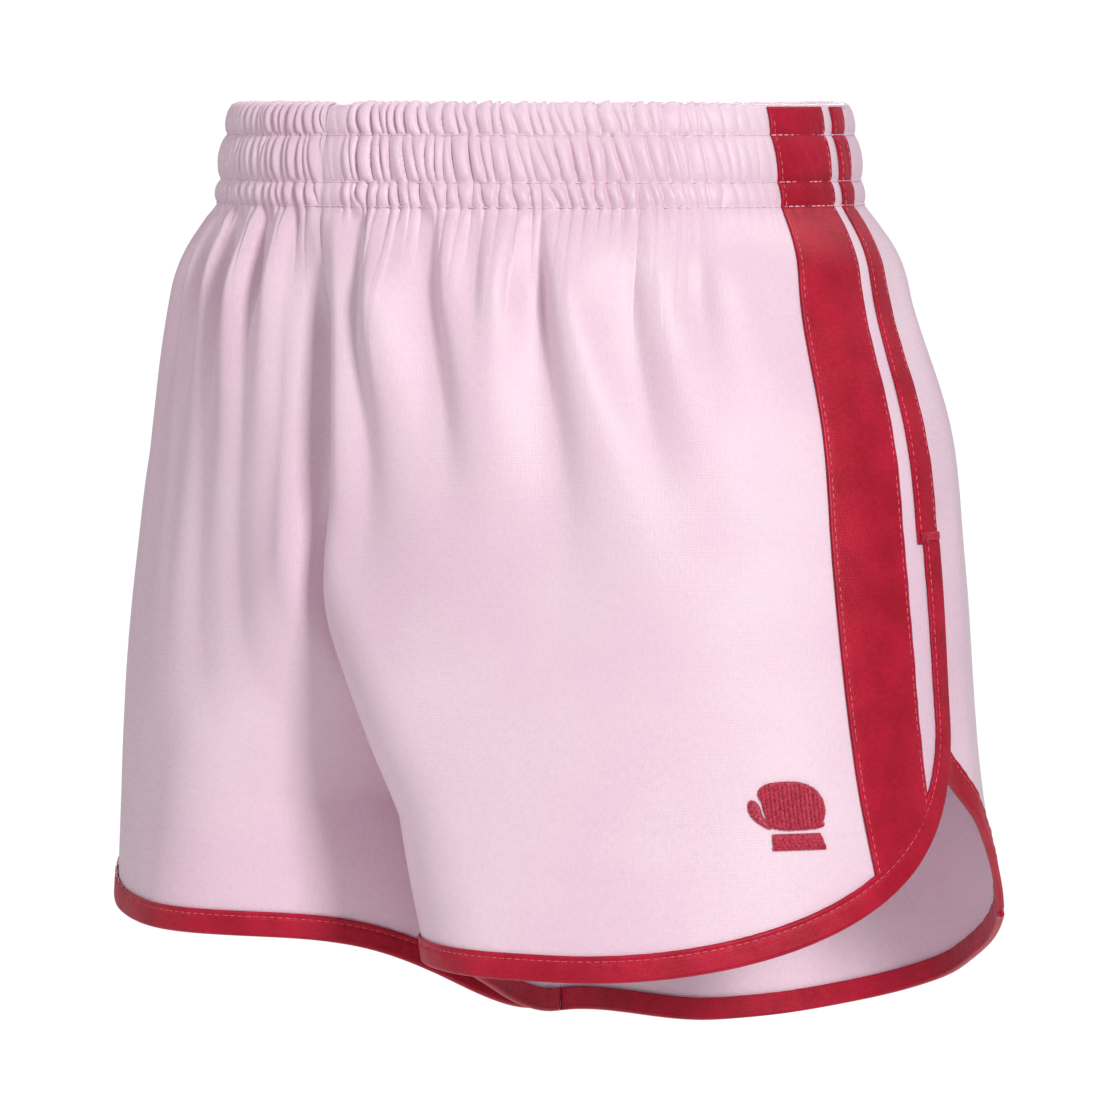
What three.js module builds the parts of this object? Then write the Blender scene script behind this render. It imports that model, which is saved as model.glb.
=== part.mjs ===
// Satin sports shorts, standing as they are worn, in millimetres.
// +Z is up, the front faces -Y and the wearer's left is +X. The origin is the middle of the waist opening.
import * as THREE from "three";

// ---- Driving dimensions -------------------------------------------------------------------------
const waistHalfWidth = 121; // at the top edge
const waistHalfDepth = 105;
const legsBack = 5.5; // how far the legs' hems sit behind the waist opening
const casingHeight = 35; // elasticated casing, from the top edge to its lowest stitching
const hipHalfWidth = 178.5;
const hipHalfDepth = 122.5;
const hipDrop = 160; // from the top edge down to the hip level
const hemHalfWidth = 190;
const hemHalfDepth = 133.5;
const frontLength = 301; // top edge to the front hem
const backLonger = 44; // the back hem hangs this far below the front one
const inseamLonger = 34; // and the hem at the inseam this far
const crotchDrop = 250;
const cleftTop = 130; // where the fabric starts to fall in between the legs
const crotchRound = 80; // width of the rounded inner corner of a leg at the crotch
const hemRound = 95; // and at the hem

const ventDrop = 151; // top of the side vent
const cornerHeight = 88; // height of the front hem's round corner, from the hem up
const cornerWidth = 170; // how far that round corner reaches round the front
const backEdgeHeight = 76; // where the back panel's vent edge turns back, above the front hem's level
const backCorner = 62; // how far behind the side line the back panel's corner lies
const backCornerHeight = 8; // and how far above the front hem's level
const backHemRun = 165; // length over which the back hem falls to its full length

const cloth = 0.6; // shell fabric
const tape = 0.5; // satin tape of the bindings and bands
const bindingWidth = 9;
const bandFront = 50; // side band, from the side line towards the front
const bandBack = 19;
const seamTapeWidth = 12;
const elasticThickness = 1.2;
const elasticMargin = 1.5; // elastic to the casing's top fold and lowest stitching
const facingEnd = casingHeight - 1; // below the top edge, just under the lowest stitching
const threadWidth = 0.5;
const stitchRows = [9.5, 26, 34.6]; // below the top edge
const sideLap = 8; // the back panel runs this far under the front one
const pocketDepth = 115; // pocket bag, round from the side line towards the front
const pocketBottom = 195;
const emblemAt = [77, 58]; // round from the side line, and above the front hem
const emblemHalf = [16.5, 12];
const seamAllowance = 8;
const seamBulk = 1; // thickness of a closed seam's folded edges

const gap = 0.3; // between neighbouring pieces
const lapGap = 0.6; // between cloth layers whose facets differ
const slotGap = 1.1; // between a binding's legs and the cloth edge that it holds

// Levels worked out from these, below the top edge.
const backLength = frontLength + backLonger;
const inseamHemDrop = frontLength + inseamLonger;
const cornerDrop = frontLength - cornerHeight;
const backEdgeDrop = frontLength - backEdgeHeight;
const backCornerDrop = frontLength - backCornerHeight;

// ---- Layers, counted outwards from the middle of the shell cloth ---------------------------------
const shell = [-cloth / 2, cloth / 2];
const under = (layer, space, thickness) => [layer[0] - space - thickness, layer[0] - space];
const over = (layer, space, thickness) => [layer[1] + space, layer[1] + space + thickness];
const middle = (layer) => (layer[0] + layer[1]) / 2;

const trim = over(shell, gap, tape);
const bindingOuter = over(shell, slotGap, tape);
const bindingHalf = bindingOuter[1];
const lap = under(shell, lapGap, cloth);
const elasticLayer = under(lap, lapGap, elasticThickness);
const lappedFacing = under(elasticLayer, lapGap, cloth);
const facing = under(lappedFacing, gap, cloth);
const wovenLabelLayer = under(facing, gap, 0.3);
const seamLayer = under(shell, gap, seamBulk);
const ventLap = -(2 * bindingHalf + gap); // middle of the back panel where it lies behind the vent
const pocketOuter = under([ventLap - bindingHalf, 0], gap, cloth);
const pocketInner = under(pocketOuter, gap, cloth);
const centreGap = cloth / 2 + gap / 2; // seam edge to the middle plane

// ---- The body of the shorts as level sections ----------------------------------------------------
const levels = [
  { drop: 0, width: waistHalfWidth, depth: waistHalfDepth, back: 0, side: 113 },
  { drop: casingHeight, width: waistHalfWidth + 6, depth: waistHalfDepth + 4, back: 0, side: 113 },
  { drop: casingHeight + 15, width: 142.5, depth: 112.8, back: 0, side: 108 },
  { drop: casingHeight + 35, width: 151, depth: 117.8, back: 0.1 * legsBack, side: 104.5 },
  { drop: (casingHeight + 35 + hipDrop) / 2, width: 170, depth: 121.5, back: 0.5 * legsBack, side: 100 },
  { drop: hipDrop, width: hipHalfWidth, depth: hipHalfDepth, back: 0.3 * legsBack, side: 99 },
  { drop: (hipDrop + frontLength) / 2, width: 184, depth: 127.5, back: 0.1 * legsBack, side: 101 },
  { drop: frontLength, width: hemHalfWidth, depth: hemHalfDepth, back: legsBack, side: 103 },
  { drop: backLength, width: hemHalfWidth + 1, depth: hemHalfDepth + 1, back: legsBack, side: 103 },
];

const clamp = THREE.MathUtils.clamp;
const smooth = THREE.MathUtils.smoothstep;
const radians = THREE.MathUtils.degToRad;

// A smooth curve through the levels' values, below a casing with straight sides.
function level(key, drop) {
  const last = levels.length - 1;
  const at = clamp(drop, levels[0].drop, levels[last].drop);
  let i = 0;
  while (i < last - 1 && at > levels[i + 1].drop) i++;
  const slope = (a, b) => (levels[b][key] - levels[a][key]) / (levels[b].drop - levels[a].drop);
  const span = levels[i + 1].drop - levels[i].drop;
  const t = (at - levels[i].drop) / span;
  const here = slope(i, i + 1);
  const start = i > 1 ? (slope(i - 1, i) + here) / 2 : here;
  const end = i > 0 && i + 1 < last ? (here + slope(i + 1, i + 2)) / 2 : here;
  const rise = levels[i + 1][key] - levels[i][key];
  const bend = t * (1 - t) * ((1 - t) * (start * span - rise) - t * (end * span - rise));
  return levels[i][key] + t * rise + bend;
}

// How far the cloth falls in between the legs at a level, and over what width.
function cleft(drop) {
  const share = clamp((drop - cleftTop) / (crotchDrop - cleftTop), 0, 1);
  const below = clamp((drop - crotchDrop) / (frontLength - crotchDrop), 0, 1.1);
  return { share: share * share, width: crotchRound * share + (hemRound - crotchRound) * below ** 1.7 };
}

// The left half's outline at a level, from the front rise or inseam, round the side, to the back.
const sections = new Map();
function section(drop) {
  const key = drop.toFixed(3);
  if (sections.has(key)) return sections.get(key);
  const width = level("width", drop);
  const depth = level("depth", drop);
  const back = level("back", drop);
  const { share, width: round } = cleft(drop);
  const legGap = centreGap + 5 * smooth(drop, crotchDrop, frontLength);
  const reach = (x) => depth * Math.sqrt(Math.max(0, 1 - (x / width) ** 2));
  const points = [];
  const add = (x, y) => points.push(new THREE.Vector2(x + legGap * (1 - x / width), y + back));
  const steps = 14;
  for (let k = 0; k < steps && round > 0; k++) {
    const b = (k / steps) * (Math.PI / 2);
    const x = round * (1 - Math.cos(b));
    add(x, -reach(x) + depth * share * (1 - Math.sin(b)));
  }
  const start = Math.asin(clamp(round / width, 0, 1));
  const side = radians(level("side", drop));
  for (let k = 0; k <= 24; k++) {
    const t = start + (k / 24) * (side - start);
    add(width * Math.sin(t), -depth * Math.cos(t));
  }
  const sideIndex = points.length - 1;
  for (let k = 1; k <= 24; k++) {
    const t = side + (k / 24) * (Math.PI - start - side);
    add(width * Math.sin(t), -depth * Math.cos(t));
  }
  for (let k = steps - 1; k >= 0 && round > 0; k--) {
    const b = (k / steps) * (Math.PI / 2);
    const x = round * (1 - Math.cos(b));
    add(x, reach(x) - depth * share * (1 - Math.sin(b)));
  }
  const along = [0];
  for (let k = 1; k < points.length; k++) along.push(along[k - 1] + points[k].distanceTo(points[k - 1]));
  const sideAt = along[sideIndex];
  const made = { points, along, sideAt, front: sideAt, back: along[along.length - 1] - sideAt };
  sections.set(key, made);
  return made;
}

// A point on the shorts: round from the side line (positive to the front), below the top edge,
// and out from the middle of the shell cloth.
function on(round, drop, out) {
  const { points, along, sideAt } = section(Math.max(drop, 0));
  const walk = (distance) => {
    const d = clamp(distance, 0, along[along.length - 1]);
    let k = 1;
    while (k < along.length - 1 && along[k] < d) k++;
    const t = (d - along[k - 1]) / (along[k] - along[k - 1]);
    return points[k - 1].clone().lerp(points[k], t);
  };
  const here = sideAt - round;
  const p = walk(here);
  const tangent = walk(here + 0.5).sub(walk(here - 0.5)).normalize();
  return new THREE.Vector3(p.x + out * tangent.y, p.y - out * tangent.x, -drop);
}

// Where the pieces end at the rise and the inseam, just short of their neighbour across it.
const frontEnd = (drop) => section(drop).front - gap;
const backEnd = (drop) => section(drop).back - gap;

// ---- Hem lines -----------------------------------------------------------------------------------
// Both give the drop of the hem, held in by an inset from the finished edge.
function frontHem(round, inset) {
  const inner = smooth(round, cornerWidth, frontEnd(inseamHemDrop)) ** 4;
  const flat = frontLength + (inseamHemDrop - frontLength) * inner - inset;
  if (round >= cornerWidth) return flat;
  const across = clamp((cornerWidth - round) / (cornerWidth - inset), 0, 1);
  return cornerDrop + (frontLength - inset - cornerDrop) * Math.sqrt(1 - across ** 2);
}
function backHem(round, inset) {
  const behind = -round - backCorner;
  if (behind < 0) {
    const share = clamp((sideLap - round) / (sideLap + backCorner), 0, 1);
    const slope = (backCornerDrop - backEdgeDrop) / (sideLap + backCorner);
    return backEdgeDrop + (backCornerDrop - backEdgeDrop) * share - inset * Math.hypot(1, slope);
  }
  const fall = Math.sin((clamp(behind / backHemRun, 0, 1) * Math.PI) / 2);
  const inner = smooth(-round, backCorner + backHemRun, backEnd(inseamHemDrop));
  const full = backCornerDrop + (backLength - backCornerDrop) * fall;
  return full + (inseamHemDrop - backLength) * inner - inset;
}

// How far in the back panel steps to pass behind the front one.
function backStep(round, drop) {
  const deep = middle(lap) + (ventLap - middle(lap)) * smooth(drop, ventDrop - 22, ventDrop - 2);
  return deep * smooth(round, -24, -4);
}

// ---- Solids --------------------------------------------------------------------------------------
// A closed solid between two grids of points: outer(i, j) and inner(i, j), walled at its edges.
// A ring joins its last column to its first.
function slab(columns, rows, outer, inner, ring = false) {
  const position = [];
  const index = [];
  const count = ring ? columns : columns + 1;
  const put = (grid) => {
    for (let i = 0; i < count; i++) for (let j = 0; j <= rows; j++) position.push(...grid(i, j).toArray());
  };
  put(outer);
  put(inner);
  const o = (i, j) => (i % count) * (rows + 1) + j;
  const n = (i, j) => o(i, j) + count * (rows + 1);
  const quad = (a, b, c, d) => index.push(a, b, c, a, c, d);
  for (let i = 0; i < columns; i++) {
    for (let j = 0; j < rows; j++) {
      quad(o(i, j), o(i, j + 1), o(i + 1, j + 1), o(i + 1, j));
      quad(n(i, j), n(i + 1, j), n(i + 1, j + 1), n(i, j + 1));
    }
    quad(o(i, 0), o(i + 1, 0), n(i + 1, 0), n(i, 0));
    quad(o(i, rows), n(i, rows), n(i + 1, rows), o(i + 1, rows));
  }
  for (let j = 0; j < rows && !ring; j++) {
    quad(o(0, j), n(0, j), n(0, j + 1), o(0, j + 1));
    quad(o(columns, j), o(columns, j + 1), n(columns, j + 1), n(columns, j));
  }
  const made = new THREE.BufferGeometry();
  made.setAttribute("position", new THREE.Float32BufferAttribute(position, 3));
  made.setIndex(volume(position, index) < 0 ? index.reverse() : index);
  made.computeVertexNormals();
  return made;
}

// Signed volume inside the triangles: negative when the grids ran the other way round.
function volume(position, index) {
  const corner = (k) => new THREE.Vector3().fromArray(position, 3 * index[k]);
  let sum = 0;
  for (let k = 0; k < index.length; k += 3) sum += corner(k).dot(corner(k + 1).cross(corner(k + 2))) / 6;
  return sum;
}

// Evenly spaced values, both ends included.
const spread = (from, to, count) => {
  const step = (to - from) / count;
  return Array.from({ length: count + 1 }, (_, k) => from + step * k);
};

// A flat piece that lies on the shorts: columns of places round, and each column's top and bottom.
// Its rows follow the shared levels, and end in the given number of equal steps.
function patch(rounds, top, bottom, layer, steps = 2, step = () => 0) {
  const topmost = Math.max(...rounds.map(top));
  const lowest = Math.min(...rounds.map(bottom));
  const rows = rounds.map((round) => {
    const from = top(round);
    const to = bottom(round);
    const shared = sharedDrops.filter((drop) => drop > topmost + 1 && drop < lowest - 2);
    const start = shared.length ? shared[shared.length - 1] : from;
    return [...(shared.length ? [from, ...shared] : [from]), ...spread(start, to, steps).slice(1)];
  });
  const place = (i, j, out) => on(rounds[i], rows[i][j], out + step(rounds[i], rows[i][j]));
  const outer = (i, j) => place(i, j, layer[1]);
  const inner = (i, j) => place(i, j, layer[0]);
  return slab(rounds.length - 1, rows[0].length - 1, outer, inner);
}

// Levels at which the panels and everything lying on them have their corners. Down to the last
// level one the panels' rows are level, and below it they fan out to the hem.
const flare = [0, 11, 23, 37, 55].map((below) => casingHeight + below);
const lastLevel = cornerDrop - 26;
const sharedDrops = [
  ...flare,
  ...spread(casingHeight + 77, lastLevel, 4),
  ...spread(lastLevel, crotchDrop, 3).slice(1),
];

// ---- Panels: shell cloth that turns over the elastic at the waist and ends in a facing ------------
const edge = gap + tape; // from a bound edge's finished line to the cloth inside it
const frontInner = 8; // columns from the round corner to the rise
const backInner = 12; // and from the back panel's corner
const legRows = 4; // from the crotch level to the hem
const cornerAngles = [0, 10, 20, 30, 39, 48, 56, 64, 72, 79, 85, 90].map(radians);
const cornerRounds = cornerAngles.map((angle) => cornerWidth - (cornerWidth - edge) * Math.cos(angle));

// Where each column runs: at a fixed distance round near the side, then shared out to the rise.
// The last column but one is a seam allowance from the rise, under the folded edges of the seam.
function columnsTo(sideColumns, end, count) {
  const last = sideColumns[sideColumns.length - 1];
  const rest = spread(last, end - Math.sign(end) * seamAllowance, count);
  return [...sideColumns, ...rest.slice(1), end];
}
const frontColumns = (drop) => columnsTo(cornerRounds, frontEnd(drop), frontInner);
const backSide = [sideLap - edge, 2, -4, -14, -24, -43, -backCorner];
const backColumns = (drop) => columnsTo(backSide, -backEnd(drop), backInner);

function panel(columnsAt, hem, step) {
  const hems = columnsAt(frontLength).map((round, i) => {
    let drop = frontLength;
    for (let k = 0; k < 4; k++) drop = hem(columnsAt(drop)[i], edge);
    return drop;
  });
  const drops = hems.map((end) => {
    const squeeze = Math.min(1, (end - lastLevel) / (frontLength - edge - lastLevel));
    const fan = (drop) => (drop > lastLevel ? lastLevel + (drop - lastLevel) * squeeze : drop);
    const body = sharedDrops.map(fan);
    return [...body, ...spread(body[body.length - 1], end, legRows).slice(1)].reverse();
  });
  const bodyRows = drops[0].length;
  // The casing: up to the top fold, and down behind the elastic to the facing's end.
  const turns = [
    { drops: [-cloth, 0], outs: [shell[1], shell[0]] },
    { drops: [-cloth, 0], outs: [facing[0], facing[1]], isFacing: true },
    { drops: [facingEnd, facingEnd], outs: [facing[0], facing[1]], isFacing: true },
  ];
  const place = (i, j, side) => {
    const turn = turns[j - bodyRows];
    const drop = turn ? turn.drops[side] : drops[i][j];
    const round = columnsAt(Math.max(drop, 0))[i];
    const stepped = step(round, drop);
    if (!turn) return on(round, drop, shell[1 - side] + stepped);
    // Where the back panel passes behind, its whole casing lies inside the front one's.
    const tuck = ((cloth + gap) * stepped) / middle(lap);
    return on(round, drop + tuck, turn.outs[side] + (turn.isFacing ? tuck : stepped));
  };
  const outer = (i, j) => place(i, j, 0);
  const inner = (i, j) => place(i, j, 1);
  return slab(hems.length - 1, bodyRows + turns.length - 1, outer, inner);
}

const frontPanel = () => panel(frontColumns, frontHem, () => 0);
const backPanel = () => panel(backColumns, backHem, backStep);

// ---- Bindings: tape folded round an edge of the cloth ---------------------------------------------
// Each station is a place on the finished edge and a place on the binding's inner edge.
function binding(stations, step = () => 0) {
  const folds = [
    { at: 1, outer: -bindingOuter[1], inner: -bindingOuter[0] },
    { at: 0, outer: -bindingOuter[1], inner: -bindingOuter[0] },
    { at: 0, outer: bindingOuter[1], inner: bindingOuter[0] },
    { at: 1, outer: bindingOuter[1], inner: bindingOuter[0] },
  ];
  const place = (i, j, side) => {
    const { edge, inner } = stations[i];
    const fold = folds[j];
    const length = Math.hypot(inner[0] - edge[0], inner[1] - edge[1]);
    const t = fold.at === 1 ? 1 : side === "inner" ? tape / length : 0;
    const round = edge[0] + (inner[0] - edge[0]) * t;
    const drop = edge[1] + (inner[1] - edge[1]) * t;
    return on(round, drop, fold[side] + step(round, drop));
  };
  return slab(stations.length - 1, 3, (i, j) => place(i, j, "outer"), (i, j) => place(i, j, "inner"));
}

function frontBinding() {
  const straight = (drop) => ({ edge: [0, drop], inner: [bindingWidth, drop] });
  const side = spread(ventDrop + gap, cornerDrop, 3).map(straight);
  const corner = cornerAngles.slice(1, -1).map((angle) => {
    const rise = frontLength - cornerDrop;
    const place = [cornerWidth * (1 - Math.cos(angle)), cornerDrop + rise * Math.sin(angle)];
    const normal = new THREE.Vector2(Math.cos(angle) / cornerWidth, -Math.sin(angle) / rise);
    normal.setLength(bindingWidth);
    return { edge: place, inner: [place[0] + normal.x, place[1] + normal.y] };
  });
  const hem = spread(0, frontInner + 1, frontInner + 1);
  const start = cornerRounds.length - 1;
  return binding([...side, ...corner, ...hem.map((k) => hemStation(start + k, frontColumns, frontHem))]);
}

// The place on a hem binding where a column of the panel ends.
function hemStation(column, columnsAt, hem) {
  const round = (drop) => columnsAt(drop)[column];
  let drop = frontLength;
  for (let k = 0; k < 4; k++) drop = hem(round(drop), 0);
  return { edge: [round(drop), drop], inner: [round(drop - bindingWidth), drop - bindingWidth] };
}

// The back panel's slanted vent edge and its corner, where the vent binding crosses the hem binding.
const ventSlope = new THREE.Vector2(-(sideLap + backCorner), backCornerDrop - backEdgeDrop).normalize();
const ventStation = (round) => {
  const drop = backHem(round, 0);
  const inner = [round - ventSlope.y * bindingWidth, drop + ventSlope.x * bindingWidth];
  return { edge: [round, drop], inner };
};
const cornerStation = () => {
  const crossing = hemStation(backSide.length, backColumns, backHem).edge[0] + 3 * gap;
  return { edge: [-backCorner, backCornerDrop], inner: [crossing, backHem(crossing, 0)] };
};
const lastVentStation = () => ventStation(-backCorner + 2);

function backHemBinding() {
  const station = (k) => hemStation(backSide.length + k, backColumns, backHem);
  const stations = spread(0, backInner, backInner).map(station);
  // The first end runs along the vent binding's inner edge.
  const upper = lastVentStation().inner;
  const lower = cornerStation().inner;
  stations[0].inner[0] += (bindingWidth * (upper[0] - lower[0])) / (lower[1] - upper[1]);
  return binding(stations, backStep);
}

function backVentBinding() {
  const down = spread(ventDrop + 4, backEdgeDrop - bindingWidth, 4);
  const side = down.map((drop) => ({ edge: [sideLap, drop], inner: [sideLap - bindingWidth, drop] }));
  const mitre = bindingWidth * Math.tan(ventSlope.angle() / 2 - Math.PI / 4);
  const bend = { edge: [sideLap, backEdgeDrop], inner: [sideLap - bindingWidth, backEdgeDrop - mitre] };
  const last = backSide[backSide.length - 2];
  const slant = [...backSide.slice(1, -1), (last - backCorner) / 2].map(ventStation);
  return binding([...side, bend, ...slant, lastVentStation(), cornerStation()], backStep);
}

// ---- Trims, seams and inner pieces ----------------------------------------------------------------
const sideBand = () =>
  patch(spread(bandFront, bandBack, 4), () => -cloth, (r) => frontHem(r, bindingWidth + 2), trim, 2);
const seamTape = () => patch(spread(seamTapeWidth, gap, 2), () => -cloth, () => ventDrop - 1, trim, 1);
const bartack = () => {
  const layer = over(trim, gap, tape);
  return patch(spread(seamTapeWidth - 1, 1, 2), () => ventDrop - 4, () => ventDrop - 1.5, layer, 1);
};
function pocketBag(layer) {
  const rounds = spread(pocketDepth, sideLap + 2 * gap, 8);
  const fall = (round) => pocketBottom - 45 * (1 - Math.sqrt(1 - (round / (pocketDepth + 4)) ** 4));
  return patch(rounds, () => casingHeight + 2, fall, layer, 2);
}
function emblem() {
  const [centre, height] = emblemAt;
  const drop = frontLength - height;
  const across = (round) => (round - centre) / emblemHalf[0];
  const half = (round) => emblemHalf[1] * Math.sqrt(Math.max(0.08, 1 - across(round) ** 2));
  const rounds = spread(centre + emblemHalf[0], centre - emblemHalf[0], 10);
  return patch(rounds, (r) => drop - half(r), (r) => drop + half(r), trim);
}
function careLabel() {
  const [top, bottom] = [casingHeight + 3, casingHeight + 50];
  return patch([-10, -22, -34], () => top, () => bottom, wovenLabelLayer, 1);
}

// A seam's folded edges, lying on the inside of the left panels along the rise or the inseam.
function closedSeam(endAt, sign, from, to) {
  const legLevels = spread(crotchDrop, inseamHemDrop - edge, legRows).slice(1);
  const between = [...sharedDrops, ...legLevels].filter((drop) => drop > from && drop < to);
  const drops = [from, ...between, to];
  const place = (i, j, out) => on(sign * (endAt(drops[j]) - i * seamAllowance), drops[j], out);
  const outer = (i, j) => place(i, j, seamLayer[1]);
  const inner = (i, j) => place(i, j, seamLayer[0]);
  return slab(1, drops.length - 1, outer, inner);
}

// Rings that run right round the waist: columns of the left half, then the right half mirrored.
function waistRing(top, bottom, layer, half = 22) {
  const place = (i, drop, out) => {
    const left = i <= half;
    const share = (left ? i : 2 * half - i) / half;
    const { front, back } = section(drop);
    const p = on(front - share * (front + back), drop, out);
    return left ? p : new THREE.Vector3(-p.x, p.y, p.z);
  };
  const drops = [top, bottom];
  const outer = (i, j) => place(i, drops[j], layer[1]);
  const inner = (i, j) => place(i, drops[j], layer[0]);
  return slab(2 * half, 1, outer, inner, true);
}

// The blank woven label bridges the centre back inside the waist.
function wovenLabel(halfWidth = 17) {
  const across = spread(-1, 1, 6);
  const place = (i, j, out) => {
    const drop = 8 + 20 * j;
    const p = on(-section(drop).back + Math.abs(across[i]) * halfWidth, drop, out);
    return across[i] < 0 ? p : new THREE.Vector3(across[i] === 0 ? 0 : -p.x, p.y, p.z);
  };
  return slab(6, 1, (i, j) => place(i, j, wovenLabelLayer[1]), (i, j) => place(i, j, wovenLabelLayer[0]));
}

// ---- Materials and assembly -----------------------------------------------------------------------
const material = (color, roughness) => new THREE.MeshStandardMaterial({ color, roughness, metalness: 0 });
const satin = material(0xf0cfe4, 0.5);
const redSatin = material(0xb5122e, 0.35);
const knit = material(0xf4f1ec, 0.85);
const pinkThread = material(0xf3d6e6, 0.6);
const redThread = material(0xc92a44, 0.5);
const lining = material(0xf2dce9, 0.7);
const label = material(0xf6f4f0, 0.6);

const shorts = new THREE.Group();
function addPiece(name, geometry, finish, mirrored = false) {
  const mesh = new THREE.Mesh(geometry, finish);
  mesh.name = name;
  if (mirrored) mesh.scale.x = -1;
  shorts.add(mesh);
}
function addPair(name, make, finish) {
  const geometry = make();
  addPiece(name + "_left", geometry, finish);
  addPiece(name + "_right", geometry, finish, true);
}

addPair("front_panel", frontPanel, satin);
addPair("back_panel", backPanel, satin);
addPair("front_hem_binding", frontBinding, redSatin);
addPair("back_hem_binding", backHemBinding, redSatin);
addPair("back_vent_binding", backVentBinding, redSatin);
addPair("side_band", sideBand, redSatin);
addPair("side_seam_tape", seamTape, redSatin);
addPair("vent_bartack", bartack, redThread);
addPair("pocket_bag_outer", () => pocketBag(pocketOuter), lining);
addPair("pocket_bag_inner", () => pocketBag(pocketInner), lining);
addPair("inseam", () => closedSeam(frontEnd, 1, crotchDrop + 3, inseamHemDrop - bindingWidth - 2), lining);
addPiece("front_rise_seam", closedSeam(frontEnd, 1, casingHeight + 2, crotchDrop - 3), lining);
addPiece("back_rise_seam", closedSeam(backEnd, -1, casingHeight + 2, crotchDrop - 3), lining);
addPiece("waist_elastic", waistRing(elasticMargin, casingHeight - elasticMargin, elasticLayer), knit);
stitchRows.forEach((drop, k) => {
  const row = waistRing(drop - threadWidth / 2, drop + threadWidth / 2, over(trim, lapGap, threadWidth));
  addPiece("waist_stitch_row_" + (k + 1), row, pinkThread);
});
addPiece("embroidered_emblem", emblem(), redThread);
addPiece("care_label", careLabel(), label);
addPiece("woven_label", wovenLabel(), label);

export default shorts;
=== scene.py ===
# Satin sports shorts, open as they are worn. The frame is in metres, the pattern below in millimetres.
# A place on the cloth is how far around it lies from the side line, and how far below the top edge.
import bpy
import bmesh
import math
import numpy as np
from mathutils import Matrix, Vector


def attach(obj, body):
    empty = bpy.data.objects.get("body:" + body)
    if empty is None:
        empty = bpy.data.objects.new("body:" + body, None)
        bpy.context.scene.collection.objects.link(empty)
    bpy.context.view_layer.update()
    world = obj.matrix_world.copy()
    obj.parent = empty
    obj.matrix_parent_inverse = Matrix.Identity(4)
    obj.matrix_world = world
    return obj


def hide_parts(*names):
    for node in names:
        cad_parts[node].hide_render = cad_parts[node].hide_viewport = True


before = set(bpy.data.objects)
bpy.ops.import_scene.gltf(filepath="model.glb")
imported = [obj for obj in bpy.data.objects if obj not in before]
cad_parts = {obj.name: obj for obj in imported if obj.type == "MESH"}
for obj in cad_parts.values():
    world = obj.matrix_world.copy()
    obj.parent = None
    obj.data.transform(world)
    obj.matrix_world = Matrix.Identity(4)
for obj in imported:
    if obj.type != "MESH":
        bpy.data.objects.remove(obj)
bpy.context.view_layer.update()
mm = 0.001

form = {
    "casing": 35.0, "rows": [9.5, 26.0, 34.6],  # elastic casing and its stitching, below the top edge
    "frontLength": 301.0, "backLonger": 44.0, "inseamLonger": 34.0,
    "crotch": 250.0, "cleftTop": 130.0, "crotchRound": 80.0, "hemRound": 95.0,
    "vent": 151.0, "cornerHigh": 88.0, "cornerWide": 170.0,  # side vent, front hem's round corner
    "backEdgeHigh": 76.0, "backCorner": 62.0, "backCornerHigh": 8.0, "backRun": 165.0,
    "lap": 8.0, "facingDeep": 5.6, "binding": 9.0,
}
# Half widths and depths of the level sections, how far back they lie, and the angle of the side line.
levels = [
    {"drop": 0.0, "width": 121.0, "depth": 105.0, "back": 0.0, "side": 113.0},
    {"drop": 35.0, "width": 127.0, "depth": 109.0, "back": 0.0, "side": 113.0},
    {"drop": 50.0, "width": 142.5, "depth": 112.8, "back": 0.0, "side": 108.0},
    {"drop": 70.0, "width": 151.0, "depth": 117.8, "back": 0.55, "side": 104.5},
    {"drop": 115.0, "width": 170.0, "depth": 121.5, "back": 2.75, "side": 100.0},
    {"drop": 160.0, "width": 178.5, "depth": 122.5, "back": 1.65, "side": 99.0},
    {"drop": 230.5, "width": 184.0, "depth": 127.5, "back": 0.55, "side": 101.0},
    {"drop": 301.0, "width": 190.0, "depth": 133.5, "back": 5.5, "side": 103.0},
    {"drop": 345.0, "width": 191.0, "depth": 134.5, "back": 5.5, "side": 103.0},
]


def smooth(x, low, high):
    t = np.clip((np.asarray(x, float) - low) / (high - low), 0, 1)
    return t * t * (3 - 2 * t)


def levelValue(key, drop):
    knots = [lv["drop"] for lv in levels]
    values = [lv[key] for lv in levels]
    last = len(knots) - 1
    at = min(max(drop, knots[0]), knots[last])
    i = 0
    while i < last - 1 and at > knots[i + 1]:
        i += 1
    slope = lambda k: (values[k + 1] - values[k]) / (knots[k + 1] - knots[k])
    span = knots[i + 1] - knots[i]
    t = (at - knots[i]) / span
    start = (slope(i - 1) + slope(i)) / 2 if i > 1 else slope(i)
    end = (slope(i) + slope(i + 1)) / 2 if 0 < i < last - 1 else slope(i)
    rise = values[i + 1] - values[i]
    bend = t * (1 - t) * ((1 - t) * (start * span - rise) - t * (end * span - rise))
    return values[i] + t * rise + bend


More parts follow.
